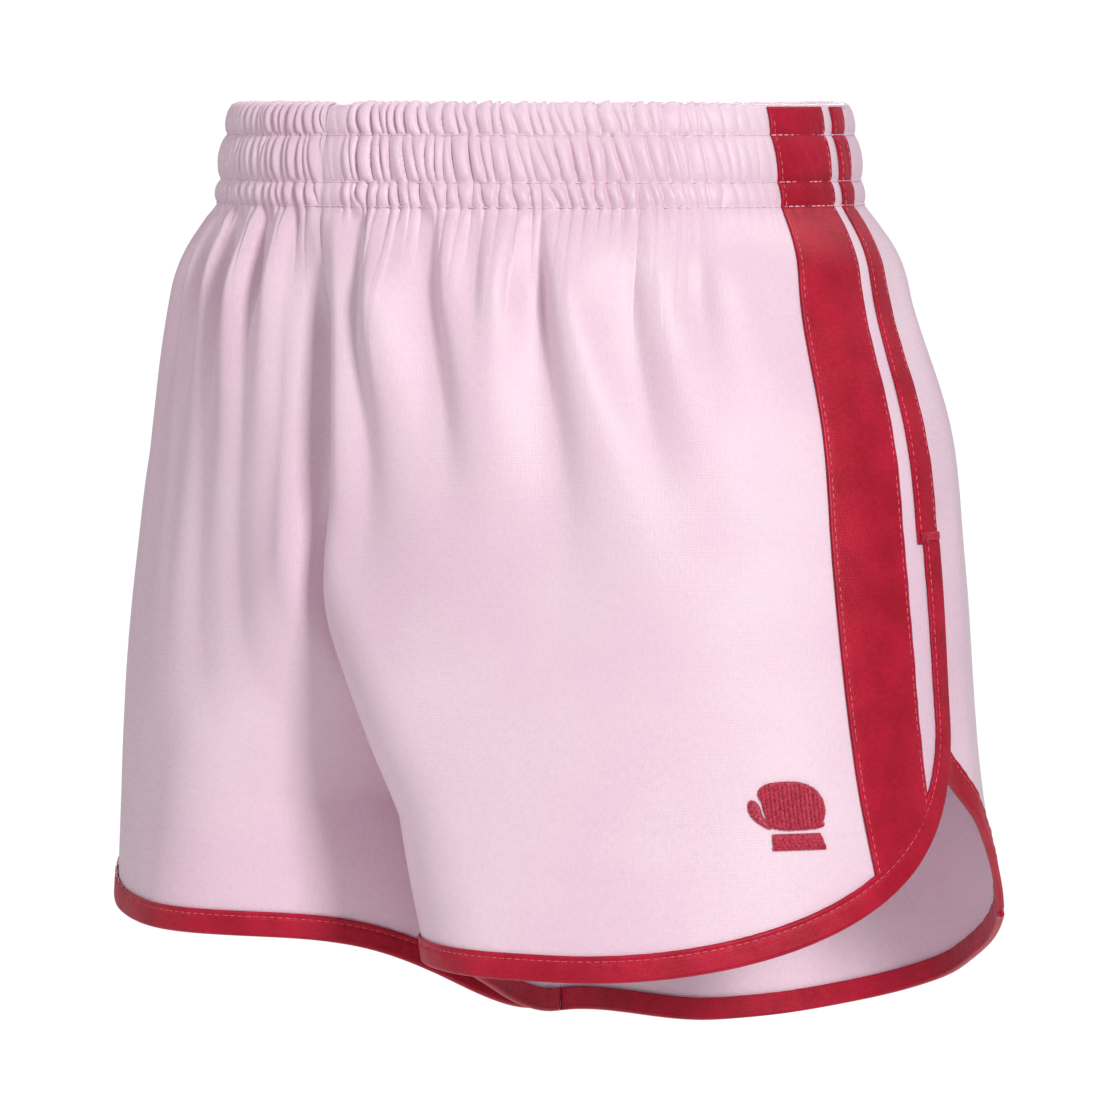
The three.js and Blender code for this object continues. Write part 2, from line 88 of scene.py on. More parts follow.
def outline(drop):
    # The left half's section from the front rise or inseam, round the side, to the back.
    width, depth = levelValue("width", drop), levelValue("depth", drop)
    back, side = levelValue("back", drop), math.radians(levelValue("side", drop))
    run = (drop - form["cleftTop"]) / (form["crotch"] - form["cleftTop"])
    share = min(max(run, 0), 1)
    eased = run - (run - 0.85) ** 2 / 0.6 if abs(run - 1) < 0.15 else share  # no kink at the crotch
    below = min(max((drop - form["crotch"]) / (form["frontLength"] - form["crotch"]), 0), 1.1)
    rounding = form["crotchRound"] * eased + (form["hemRound"] - form["crotchRound"]) * below ** 1.7
    legGap = 0.45 + 5 * float(smooth(drop, form["crotch"], form["frontLength"]))
    start = math.asin(min(rounding / width, 1))

    def cleft(b):
        x = rounding * (1 - np.cos(b))
        return x, -depth * np.sqrt(1 - (x / width) ** 2) + depth * share ** 2 * (1 - np.sin(b))

    b = np.linspace(0, math.pi / 2, 60, endpoint=False) if rounding > 0 else np.zeros(0)
    x0, y0 = cleft(b)
    t1 = np.linspace(start, side, 160)
    t2 = np.linspace(side, math.pi - start, 160)[1:]
    x = np.concatenate([x0, width * np.sin(t1), width * np.sin(t2), x0[::-1]])
    y = np.concatenate([y0, -depth * np.cos(t1), -depth * np.cos(t2), -y0[::-1]])
    x = x + legGap * (1 - x / width)
    along = np.concatenate([[0], np.cumsum(np.hypot(np.diff(x), np.diff(y)))])
    return x, y + back, along, along[len(x0) + 159]


class Body:
    # Tables of the section at every level, read by how far round from the side line and how far down.
    step = 1.5
    drops = np.arange(0, 353, step)
    share = np.linspace(-1, 1, 1001)

    def __init__(self):
        rows = [outline(d) for d in self.drops]
        self.front = np.array([r[3] for r in rows])
        self.back = np.array([r[2][-1] - r[3] for r in rows])
        self.tables = np.zeros((4, len(self.drops), len(self.share)))
        for k, (x, y, along, side) in enumerate(rows):
            q = self.share
            s = np.where(q >= 0, side - q * self.front[k], side - q * self.back[k])
            self.tables[0, k] = np.interp(s, along, x)
            self.tables[1, k] = np.interp(s, along, y)
            tx = np.interp(s + 1, along, x) - np.interp(s - 1, along, x)
            ty = np.interp(s + 1, along, y) - np.interp(s - 1, along, y)
            size = np.hypot(tx, ty)
            self.tables[2, k], self.tables[3, k] = ty / size, -tx / size

    def ends(self, drop):
        d = np.clip(drop, 0, 348)
        return np.interp(d, self.drops, self.front), np.interp(d, self.drops, self.back)

    def shareAt(self, around, drop):
        front, back = self.ends(drop)
        return np.clip(np.where(around >= 0, around / front, around / back), -1, 1)

    def read(self, around, drop):
        q = self.shareAt(around, drop)
        i = np.clip(np.asarray(drop, float), 0, 347.9) / self.step
        j = (q + 1) / 2 * (len(self.share) - 1)
        i0, j0 = np.floor(i).astype(int), np.clip(np.floor(j).astype(int), 0, len(self.share) - 2)
        fi, fj = i - i0, j - j0
        t = self.tables
        return ((1 - fi) * ((1 - fj) * t[:, i0, j0] + fj * t[:, i0, j0 + 1])
                + fi * ((1 - fj) * t[:, i0 + 1, j0] + fj * t[:, i0 + 1, j0 + 1]))


body = Body()
inseamDrop = form["frontLength"] + form["inseamLonger"]
waistFront, waistBack = (float(v) for v in body.ends(0))


def aroundWaist(around, drop):
    # The same column's place round the waist edge: gathers and folds hang straight down from it.
    q = body.shareAt(around, drop)
    return np.where(q >= 0, q * waistFront, q * waistBack)


def frontHem(around):
    inner = smooth(around, form["cornerWide"], float(body.ends(inseamDrop)[0])) ** 4
    flat = form["frontLength"] + form["inseamLonger"] * inner
    across = np.clip(1 - np.asarray(around, float) / form["cornerWide"], 0, 1)
    corner = form["frontLength"] - form["cornerHigh"] * (1 - np.sqrt(1 - across ** 2))
    return np.where(around >= form["cornerWide"], flat, corner)


def backCorners():
    # How far down the slanted vent edge of the back panel begins and ends.
    return form["frontLength"] - form["backEdgeHigh"], form["frontLength"] - form["backCornerHigh"]


def backHem(around):
    around = np.asarray(around, float)
    top, corner = backCorners()
    down = np.clip((form["lap"] - around) / (form["lap"] + form["backCorner"]), 0, 1)
    slant = top + (corner - top) * down
    behind = -around - form["backCorner"]
    full = form["frontLength"] + form["backLonger"]
    fall = corner + (full - corner) * np.sin(np.clip(behind / form["backRun"], 0, 1) * math.pi / 2)
    inner = smooth(-around, form["backCorner"] + form["backRun"], float(body.ends(inseamDrop)[1]))
    fall = fall + (form["inseamLonger"] - form["backLonger"]) * inner
    return np.where(behind < 0, slant, fall)


def backStep(around, drop):
    # The back panel steps in to pass behind the front one, further in beside the open vent.
    deep = -1.2 - 2.3 * smooth(drop, form["vent"] - 22, form["vent"] - 2)
    return deep * smooth(around, -24, -4)


# Gathers: pleats side by side in the three channels of the casing, pinched at the rows of stitching.
gatherSettings = {
    "pitch": (3.0, 6.6), "height": 0.7, "most": 3.6, "swell": [1.2, 2.0, 1.1], "slant": [2.4, 2.6, 1.5],
    "flatStrip": {1: 9.0, -1: 0.6}, "flatFrom": {1: (44, 112), -1: (14, 46)}, "seed": {1: 11, -1: 23},
}


def gatherStrength(w, side):
    # How strongly the waist is gathered: little by the side bands, hardly at the centre seam's strip.
    strip = gatherSettings["flatStrip"][side]
    onStrip = smooth(w, waistFront - strip - 1.5, waistFront - strip)
    front = smooth(w, *gatherSettings["flatFrom"][side]) * (1 - 0.95 * onStrip)
    back = smooth(-w, 12, 60) * (1 - 0.8 * smooth(-w, waistBack - 4, waistBack - 1))
    return np.where(w >= 0, 0.08 + 0.92 * front, 0.08 + 0.92 * back)


class Gathers:
    wStep, dropStep = 0.4, 0.5
    w = np.arange(-150, 246, wStep)
    drop = np.arange(-2, 100, dropStep)

    def __init__(self, side):
        rng = np.random.default_rng(gatherSettings["seed"][side])
        g = gatherSettings
        self.height = np.zeros((len(self.drop), len(self.w)))
        edges = [-0.5, *form["rows"]]
        for c in range(3):
            top, bottom = edges[c], edges[c + 1]
            at = -waistBack - 6 + np.cumsum(rng.uniform(*g["pitch"], 110))
            slant = rng.normal(-side * g["slant"][c], 1.1, len(at))
            bow, phase = rng.normal(0, 0.5, len(at)), rng.uniform(0, 6.28, len(at))
            skew = np.clip(rng.normal(0.72, 0.2, len(at) + 1), 0.45, 1.6)
            size = rng.uniform(0.65, 1.15, len(at) + 1)
            tail = np.where(rng.random(len(at) + 1) < 0.7, rng.uniform(4, 10, len(at) + 1),
                            rng.uniform(12, 26, len(at) + 1))
            for k, drop in enumerate(self.drop):
                if drop < top or (drop >= bottom and c < 2):
                    continue
                t = min((drop - top) / (bottom - top), 1)
                lines = np.sort(at + slant * (t - 0.5) + bow * np.sin(t * 3.1 + phase))
                i = np.clip(np.searchsorted(lines, self.w), 1, len(lines) - 1)
                left, right = lines[i - 1], lines[i]
                f = np.clip((self.w - left) / np.maximum(right - left, 0.1), 0, 1)
                tall = np.minimum(g["height"] * (right - left), g["most"]) * size[i]
                pleat = tall * (np.sin(math.pi * f ** skew[i]) ** 0.62 - 0.62)
                if drop < bottom:
                    pinch = 0.4 + 0.6 * math.sin(min(max(t, 0.03), 0.97) * math.pi) ** 0.45
                    swell = g["swell"][c] * math.sin(t * math.pi) ** 0.55
                    self.height[k] = pleat * pinch + swell
                else:
                    self.height[k] = pleat * 0.75 * np.exp(-(((drop - bottom) / tail[i]) ** 1.3))
        flat = np.array([1.0 if d < edges[3] else 0.0 for d in self.drop])[:, None]
        swell = np.zeros(len(self.drop))
        for c in range(3):
            inside = (self.drop >= edges[c]) & (self.drop < edges[c + 1])
            t = np.clip((self.drop - edges[c]) / (edges[c + 1] - edges[c]), 0, 1)
            swell = swell + np.where(inside, g["swell"][c] * np.sin(t * math.pi) ** 0.55, 0)
        strength = gatherStrength(self.w, side)
        swell = swell[:, None]
        self.height = (self.height - swell) * strength + swell * (0.65 + 0.35 * strength) * flat
        kernel = np.array([1, 6, 1]) / 8
        self.height = np.apply_along_axis(lambda row: np.convolve(row, kernel, "same"), 0, self.height)

    def read(self, w, drop):
        i = np.clip((np.asarray(drop) - self.drop[0]) / self.dropStep, 0, len(self.drop) - 1.01)
        j = np.clip((np.asarray(w) - self.w[0]) / self.wStep, 0, len(self.w) - 1.01)
        i0, j0 = i.astype(int), j.astype(int)
        fi, fj = i - i0, j - j0
        h = self.height
        value = ((1 - fi) * ((1 - fj) * h[i0, j0] + fj * h[i0, j0 + 1])
                 + fi * ((1 - fj) * h[i0 + 1, j0] + fj * h[i0 + 1, j0 + 1]))
        return np.where(np.asarray(drop) > 98, 0, value)


gathers = {side: Gathers(side) for side in (1, -1)}

# Soft folds that fall from the casing, for each half's front and for the back:
# place on the waist, depth, width at the casing, reach down, and lean.
folds = {
    1: [(202, 5.5, 3.2, 150, 4), (174, 5.0, 3.4, 130, 6), (157, 3.0, 3.0, 90, 4),
        (136, 6.0, 3.4, 170, 5), (104, 3.6, 3.6, 130, 4), (82, 2.2, 4.0, 100, 2)],
    -1: [(207, 4.4, 3.2, 200, 2), (190, 5.6, 3.4, 250, 3), (168, 5.6, 3.4, 240, 3),
         (148, 5.0, 3.6, 200, 3), (126, 4.2, 3.6, 220, 2), (98, 3.4, 4.0, 190, 2),
         (76, 2.4, 4.0, 120, 1)],
    "back": [(-38, 3.0, 3.4, 150, -2), (-58, 5.0, 3.4, 200, -3), (-78, 4.4, 3.2, 150, -3),
             (-97, 5.2, 3.4, 210, -2), (-118, 4.0, 3.2, 170, -1)],
}
centreFold = {"depth": 17.0, "width": 8.0, "from": 34.0, "to": 225.0, "shoulder": {1: 6.0, -1: 1.0}}


def foldLift(w, drop, side):
    lift = np.zeros(np.broadcast(w, drop).shape)
    below = np.clip(drop - form["casing"], 0, 320)
    for at, depth, width, reach, lean in folds[side] + folds["back"]:
        grow = 0.35 + 0.65 * smooth(below, 4, 34)
        fade = 1 - smooth(below, 0.3 * reach, reach)
        wide = width * (1 + below / 42)
        x = (w - at + lean * below / 60) / wide
        valley = np.where(x < 0, np.exp(-((x * 1.25) ** 2)), np.exp(-((x / 1.5) ** 2)))
        ridge = 0.45 * np.exp(-(((x + 1.9) / 1.1) ** 2)) + 0.25 * np.exp(-(((x - 3.0) / 1.4) ** 2))
        lift = lift - 1.5 * depth * smooth(below, 0, 5) * grow * fade * (valley - ridge)
    c = centreFold
    share = smooth(drop, c["from"], c["from"] + 50) * (1 - smooth(drop, c["to"] - 110, c["to"]))
    lift = lift - c["depth"] * share * np.exp(-(((waistFront - w) / c["width"]) ** 2))
    shoulder = share * (1 - smooth(drop, 100, 165))
    lift = lift + c["shoulder"][side] * shoulder * np.exp(-(((waistFront - 17 - w) / 7) ** 2))
    lift = lift - 0.6 * c["depth"] * share * np.exp(-(((waistBack + w) / c["width"]) ** 2))
    return lift


def softWaves(w, drop, side):
    # Slow unevenness of hanging cloth, and a slight ripple of the hems.
    low = smooth(drop, 60, 200)
    a = 1.1 * np.sin(w * 0.047 + 1.3 * side + drop * 0.006) * np.sin(w * 0.021 + 0.7)
    b = 0.6 * np.sin(w * 0.093 + 2.1 * side - drop * 0.011)
    hem = 0.35 * np.sin(w * 0.31 + side) * smooth(drop, 290, 325)
    return low * (a + b) * (1 - 0.5 * smooth(np.abs(w), 0, 20)) + hem


def lift(around, drop, side, panel):
    w = aroundWaist(around, drop)
    seam = np.exp(-(((waistFront - np.abs(w)) / 1.1) ** 2)) if panel == "front" else np.exp(
        -(((waistBack - np.abs(w)) / 1.1) ** 2))
    value = gathers[side].read(w, drop) + foldLift(w, drop, side) + softWaves(w, drop, side)
    value = value - 0.5 * seam * smooth(drop, 2, 12)
    # the inner leg lies flat beside its seam, so that the four panels meet at the crotch
    front, back = body.ends(drop)
    inner = np.exp(-((np.minimum(front - around, back + around) / 14) ** 2))
    value = value * (1 - inner * smooth(drop, form["crotch"] - 60, form["crotch"] - 25))
    if panel == "back":
        value = value + backStep(around, drop)
    return value


def onCloth(around, drop, out, side, panel, lifted=True):
    # The point in metres that lies out from the cloth at a place.
    around, drop, out = np.broadcast_arrays(*(np.asarray(a, float) for a in (around, drop, out)))
    x, y, nx, ny = body.read(around, drop)
    far = out + (lift(around, np.maximum(drop, 0), side, panel) if lifted else 0)
    nx, ny = squareToSeam(around, drop, nx, ny)
    high = ruffle(around, drop, side) - drop
    return np.stack([side * (x + nx * far - seamPull(around, drop)), y + ny * far, high], -1) * mm


def ruffle(around, drop, side):
    # The top edge rises and falls with the gathers.
    level = gathers[side].read(aroundWaist(around, drop), 0 * drop + 4.5)
    return 0.5 * (level - 1.1) * (1 - smooth(np.abs(drop), 0, 6))


def squareToSeam(around, drop, nx, ny):
    # Beside the centre seams, above the crotch, the cloth lifts straight forwards or back.
    front, back = body.ends(drop)
    nearEnd = np.minimum(front - around, back + around)
    k = np.exp(-((nearEnd / 14) ** 2)) * (1 - smooth(drop, form["crotch"] - 30, form["crotch"] - 4))
    ax, ay = nx * (1 - k), ny * (1 - k) + np.where(front - around < back + around, -1, 1) * k
    size = np.hypot(ax, ay)
    return ax / size, ay / size


def seamPull(around, drop):
    # The halves lean together to meet at the centre seams.
    front, back = body.ends(drop)
    nearEnd = np.minimum(front - around, back + around)
    fade = 1 - smooth(drop, form["crotch"], form["crotch"] + 6)
    return 0.45 * np.exp(-((nearEnd / 1.5) ** 2)) * fade


def nodeMaterial(name, rough, colour, sheen=0.0, sheenTint=(1, 1, 1), coat=0.0):
    mat = bpy.data.materials.new(name)
    mat.use_nodes = True
    tree = mat.node_tree
    shader = tree.nodes["Principled BSDF"]
    shader.inputs["Roughness"].default_value = rough
    shader.inputs["Base Color"].default_value = (*colour, 1)
    shader.inputs["Sheen Weight"].default_value = sheen
    shader.inputs["Sheen Roughness"].default_value = 0.4
    shader.inputs["Sheen Tint"].default_value = (*sheenTint, 1)
    shader.inputs["Coat Weight"].default_value = coat
    return mat, tree, shader


def addNode(tree, kind, **inputs):
    node = tree.nodes.new(kind)
    for key, value in inputs.items():
        name = key.replace("_", " ")
        if name in node.inputs:
            node.inputs[name].default_value = value
        else:
            setattr(node, key, value)
    return node


def clothMaterial(name, s):
    mat, tree, shader = nodeMaterial(name, s["rough"], s["colours"][0], s["sheen"], s["sheenTint"])
    shader.inputs["Specular Tint"].default_value = (*s.get("specTint", (1, 1, 1)), 1)
    link = tree.links.new
    coords = tree.nodes.new("ShaderNodeTexCoord")
    # Broad, slow drift between two shades of the cloth.
    drift = addNode(tree, "ShaderNodeTexNoise", Scale=s["driftScale"], Detail=3.0, Roughness=0.5)
    link(coords.outputs["Object"], drift.inputs["Vector"])
    ramp = tree.nodes.new("ShaderNodeValToRGB")
    ramp.color_ramp.elements[0].position, ramp.color_ramp.elements[1].position = 0.36, 0.64
    ramp.color_ramp.elements[0].color = (*s["colours"][0], 1)
    ramp.color_ramp.elements[1].color = (*s["colours"][1], 1)
    link(drift.outputs["Fac"], ramp.inputs["Fac"])
    # Fine slubs that run along the weft, and the weave itself.
    stretch = tree.nodes.new("ShaderNodeMapping")
    stretch.inputs["Scale"].default_value = s["slubStretch"]
    link(coords.outputs["UV"], stretch.inputs["Vector"])
    slub = addNode(tree, "ShaderNodeTexNoise", Scale=s["slubScale"], Detail=4.0, Roughness=0.65)
    link(stretch.outputs["Vector"], slub.inputs["Vector"])
    warp = addNode(tree, "ShaderNodeTexWave", Scale=s["weaveScale"], Distortion=0.6, Detail=1.0)
    weft = addNode(tree, "ShaderNodeTexWave", bands_direction="Y", Scale=s["weaveScale"] * 0.8,
                   Distortion=0.6)
    link(coords.outputs["UV"], warp.inputs["Vector"])
    link(coords.outputs["UV"], weft.inputs["Vector"])
    weave = addNode(tree, "ShaderNodeMath", operation="MULTIPLY")
    link(warp.outputs["Fac"], weave.inputs[0])
    link(weft.outputs["Fac"], weave.inputs[1])
    grain = tree.nodes.new("ShaderNodeMix")
    grain.data_type, grain.blend_type = "RGBA", "MULTIPLY"
    grain.inputs[0].default_value = 1.0
    shade = tree.nodes.new("ShaderNodeMapRange")
    shade.inputs["From Min"].default_value, shade.inputs["From Max"].default_value = 0.3, 0.7
    shade.inputs["To Min"].default_value, shade.inputs["To Max"].default_value = 1 - s["grain"], 1.0
    link(slub.outputs["Fac"], shade.inputs["Value"])
    link(ramp.outputs["Color"], grain.inputs[6])
    link(shade.outputs["Result"], grain.inputs[7])
    link(grain.outputs[2], shader.inputs["Base Color"])
    roughness = tree.nodes.new("ShaderNodeMapRange")
    roughness.inputs["To Min"].default_value = s["rough"] - s["roughSpread"]
    roughness.inputs["To Max"].default_value = s["rough"] + s["roughSpread"]
    link(slub.outputs["Fac"], roughness.inputs["Value"])
    link(roughness.outputs["Result"], shader.inputs["Roughness"])
    fine = addNode(tree, "ShaderNodeBump", Strength=s["weaveBump"], Distance=0.0003)
    link(weave.outputs["Value"], fine.inputs["Height"])
    coarse = addNode(tree, "ShaderNodeBump", Strength=s["slubBump"], Distance=0.0005)
    link(slub.outputs["Fac"], coarse.inputs["Height"])
    link(fine.outputs["Normal"], coarse.inputs["Normal"])
    link(coarse.outputs["Normal"], shader.inputs["Normal"])
    return mat


def threadMaterial(name, dark, light, rough=0.45):
    mat, tree, shader = nodeMaterial(name, rough, light, 0.3, light)
    link = tree.links.new
    coords = tree.nodes.new("ShaderNodeTexCoord")
    twist = addNode(tree, "ShaderNodeTexNoise", Scale=900.0, Detail=2.0)
    link(coords.outputs["Object"], twist.inputs["Vector"])
    ramp = tree.nodes.new("ShaderNodeValToRGB")
    ramp.color_ramp.elements[0].color, ramp.color_ramp.elements[1].color = (*dark, 1), (*light, 1)
    ramp.color_ramp.elements[0].position, ramp.color_ramp.elements[1].position = 0.3, 0.7
    link(twist.outputs["Fac"], ramp.inputs["Fac"])
    link(ramp.outputs["Color"], shader.inputs["Base Color"])
    bump = addNode(tree, "ShaderNodeBump", Strength=0.4, Distance=0.0002)
    link(twist.outputs["Fac"], bump.inputs["Height"])
    link(bump.outputs["Normal"], shader.inputs["Normal"])
    return mat


pinkSatin = clothMaterial("pinkSatin", {
    "colours": [(0.775, 0.545, 0.66), (0.815, 0.61, 0.70)], "rough": 0.37, "roughSpread": 0.07,
    "sheen": 0.25, "sheenTint": (1, 0.9, 0.97), "driftScale": 14.0, "slubStretch": (1.0, 0.45, 1.0),
    "slubScale": 900.0, "weaveScale": 560.0, "grain": 0.09, "weaveBump": 0.25, "slubBump": 0.12,
})
redSatin = clothMaterial("redSatin", {
    "colours": [(0.36, 0.003, 0.02), (0.47, 0.006, 0.032)], "rough": 0.36, "roughSpread": 0.08,
    "sheen": 0.15, "sheenTint": (1, 0.2, 0.28), "specTint": (1, 0.4, 0.45), "driftScale": 60.0,
    "slubStretch": (1.0, 0.6, 1.0), "slubScale": 700.0, "weaveScale": 620.0, "grain": 0.22,
    "weaveBump": 0.35, "slubBump": 0.3,
})
liningCloth = clothMaterial("liningCloth", {
    "colours": [(0.80, 0.60, 0.72), (0.83, 0.65, 0.75)], "rough": 0.7, "roughSpread": 0.05,
    "sheen": 0.1, "sheenTint": (1, 0.95, 0.98), "driftScale": 12.0, "slubStretch": (1.0, 1.0, 1.0),
    "slubScale": 700.0, "weaveScale": 420.0, "grain": 0.1, "weaveBump": 0.5, "slubBump": 0.15,
})
elasticKnit = clothMaterial("elasticKnit", {
    "colours": [(0.82, 0.80, 0.77), (0.86, 0.85, 0.82)], "rough": 0.85, "roughSpread": 0.05,
    "sheen": 0.2, "sheenTint": (1, 1, 1), "driftScale": 20.0, "slubStretch": (0.3, 1.0, 1.0),
    "slubScale": 300.0, "weaveScale": 180.0, "grain": 0.15, "weaveBump": 0.8, "slubBump": 0.3,
})
labelWeave = clothMaterial("labelWeave", {
    "colours": [(0.84, 0.82, 0.80), (0.88, 0.87, 0.85)], "rough": 0.55, "roughSpread": 0.05,
    "sheen": 0.2, "sheenTint": (1, 1, 1), "driftScale": 30.0, "slubStretch": (1.0, 0.3, 1.0),
    "slubScale": 600.0, "weaveScale": 480.0, "grain": 0.06, "weaveBump": 0.6, "slubBump": 0.2,
})
pinkThread = threadMaterial("pinkThread", (0.72, 0.46, 0.60), (0.86, 0.64, 0.76))
redThread = threadMaterial("redThread", (0.32, 0.008, 0.03), (0.60, 0.04, 0.09), 0.35)
topThread = threadMaterial("topThread", (0.48, 0.03, 0.06), (0.86, 0.14, 0.19), 0.35)


def finishPiece(bm, name, material, uv=None, place=None):
    # place(u, v) moves the points of a unit grid, and gives their cloth coordinates.
    mesh = bpy.data.meshes.new(name)
    bm.to_mesh(mesh)
    bm.free()
    if place:
        flat = np.zeros(len(mesh.vertices) * 3)
        mesh.vertices.foreach_get("co", flat)
        flat = flat.reshape(-1, 3) + 0.5
        points, uv = place(flat[:, 0], flat[:, 1])
        mesh.vertices.foreach_set("co", points.ravel())
        mesh.update()
    mesh.polygons.foreach_set("use_smooth", [True] * len(mesh.polygons))
    if uv is not None:
        layer = mesh.uv_layers.new(name="UVMap")
        index = np.zeros(len(mesh.loops), int)
        mesh.loops.foreach_get("vertex_index", index)
        layer.data.foreach_set("uv", uv[index].astype(np.float32).ravel())
    piece = bpy.data.objects.new(name, mesh)
    bpy.context.scene.collection.objects.link(piece)
    piece.data.materials.append(material)
    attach(piece, "root")
    return piece


def sheetPiece(name, columns, rows, place, material, thick=0.6, flip=False):
    # A grid laid out by place(u, v), which gives points and cloth coordinates for u and v from 0 to 1.
    bm = bmesh.new()
    bmesh.ops.create_grid(bm, x_segments=columns, y_segments=rows, size=0.5)
    if flip:
        bmesh.ops.reverse_faces(bm, faces=bm.faces)
    piece = finishPiece(bm, name, material, place=place)
    if thick:
        wall = piece.modifiers.new("Thickness", "SOLIDIFY")
        wall.thickness, wall.offset = thick * mm, -1
    return piece


sides = {1: "left", -1: "right"}


def onBothSides(make):
    for side, word in sides.items():
        make(side, word)


panelSettings = {
    "frontColumns": 540, "backColumns": 330, "inside": 12, "fold": 7, "casingRows": 44, "bodyRows": 100,
    "edge": 0.8,
}
panelRows = sum(panelSettings[k] for k in ("inside", "fold", "casingRows", "bodyRows"))
foldDeep = form["facingDeep"] / 2


def clothRun(v):
    # Along the cloth: from the facing's end, over the top fold, down the casing, then down the body.
    s = panelSettings
    parts = [s["inside"], s["fold"], s["casingRows"], s["bodyRows"]]
    edges = np.cumsum([0] + parts) / sum(parts)
    inside = np.clip((v - edges[0]) / (edges[1] - edges[0]), 0, 1)
    turn = np.clip((v - edges[1]) / (edges[2] - edges[1]), 0, 1)
    casing = np.clip((v - edges[2]) / (edges[3] - edges[2]), 0, 1)
    low = np.clip((v - edges[3]) / (edges[4] - edges[3]), 0, 1)
    return inside, turn, casing, low


def panelPlace(side, panel, roundAt, hem):
    def place(u, v):
        inside, turn, casing, low = clothRun(v)
        angle = turn * math.pi
        start = form["casing"] - 1
        drop = np.where(turn <= 0, start * (1 - inside), casing * form["casing"])
        out = np.where(turn < 1, -foldDeep * (1 + np.cos(angle)), 0)
        rise = 1.1 * np.sin(angle) * (turn < 1)
        around = roundAt(u, drop)
        w = aroundWaist(around, drop)
        bulge = gathers[side].read(w, np.where(turn < 1, np.maximum(drop, 0.5), drop))
        end = np.zeros_like(u)
        for _ in range(4):
            end = hem(roundAt(u, np.maximum(end, 60))) - panelSettings["edge"]
        drop = np.where(low > 0, form["casing"] + low * (end - form["casing"]), drop)
        around = roundAt(u, drop)
        tuck = backStep(around, drop) if panel == "back" else 0
        outer = onCloth(around, drop, out, side, panel)
        # Inside, the facing swells the other way between the rows, and the creases cut into it too.
        x, y, nx, ny = body.read(around, drop)
        level = gathers[side].read(w, drop)
        far = out - level * 0.8 * np.cos(angle) * (turn < 1) - np.where(turn <= 0, 0.75 * tuck, 0)
        nx, ny = squareToSeam(around, drop, nx, ny)
        high = ruffle(around, drop, side) - drop
        inner = np.stack([side * (x + nx * far - seamPull(around, drop)), y + ny * far, high], -1) * mm
        points = np.where((turn < 1)[:, None], inner, outer)
        onFold = (turn > 0) & (turn < 1)
        points[:, 2] += (rise + np.clip(bulge, -1.8, 1.0) * np.sin(angle)) * mm * onFold
        run = np.where(turn <= 0, -(start * inside) - 4, np.where(turn < 1, -4 * (1 - turn), drop))
        return points, np.stack([aroundWaist(around, drop) * 1.45, run], -1) * mm
    return place


def columnShare(u):
    # Columns stand closer together where the waist is gathered most.
    return np.interp(u, [0, 0.12, 0.3, 1], [0, 0.22, 0.42, 1])


def frontRound(u, drop):
    front, _ = body.ends(drop)
    inset = 0.3 + 0.5 * smooth(drop, form["vent"] - 6, form["vent"])
    return inset + columnShare(u) * (front - inset)


def backRound(u, drop):
    _, back = body.ends(drop)
    start = form["lap"] - 0.8
    w = start - columnShare(u) * (start + waistBack)
    return np.where(w >= 0, w, w / waistBack * back)


def makeFrontPanel(side, word):
    piece = sheetPiece("frontPanel_" + word, panelSettings["frontColumns"], panelRows,
                       panelPlace(side, "front", frontRound, frontHem), pinkSatin, thick=0,
                       flip=side > 0)
    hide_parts("front_panel_" + word)


def makeBackPanel(side, word):
    piece = sheetPiece("backPanel_" + word, panelSettings["backColumns"], panelRows,
                       panelPlace(side, "back", backRound, backHem), pinkSatin, thick=0,
                       flip=side < 0)
    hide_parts("back_panel_" + word)


onBothSides(makeFrontPanel)
onBothSides(makeBackPanel)


bindingSettings = {"wide": 9.0, "thick": 0.3, "pitch": 2.5, "stitchIn": 7.3, "stitchOut": 1.14}


def alongEdge(edge, inward):
    # Evenly spaced stations on an edge line of (around, drop) places, with the inward direction at each.
    edge, inward = np.array(edge, float), np.array(inward, float)
    run = np.concatenate([[0], np.cumsum(np.hypot(*np.diff(edge, axis=0).T))])
    count = max(8, int(run[-1] / bindingSettings["pitch"]))
    at = np.linspace(0, run[-1], count)
    place = np.stack([np.interp(at, run, edge[:, k]) for k in (0, 1)], -1)
    turn = np.stack([np.interp(at, run, inward[:, k]) for k in (0, 1)], -1)
    turn /= np.linalg.norm(turn, axis=1)[:, None]
    return place, turn, at


def tapeProfile(share):
    # Across a folded tape: its inner leg, the turn over the cloth's edge, its outer leg and turned end.
    b = bindingSettings
    keys = np.array([0, 0.36, 0.40, 0.44, 0.47, 0.50, 0.53, 0.56, 0.60, 0.66, 0.90, 0.95, 0.98, 1.0])
    wide = b["wide"]
    inside = np.array([wide - 0.6, 1.6, 0.8, 0.3, 0.05, -0.05, 0.05, 0.3, 0.8, 1.8,
                       wide - 1.4, wide - 0.3, wide, wide - 0.15])
    out = np.array([-0.9, -1.05, -1.15, -1.0, -0.6, 0.0, 0.65, 1.1, 1.3, 1.25, 0.95, 0.95, 0.75, 0.45])
    return np.interp(share, keys, inside), np.interp(share, keys, out)


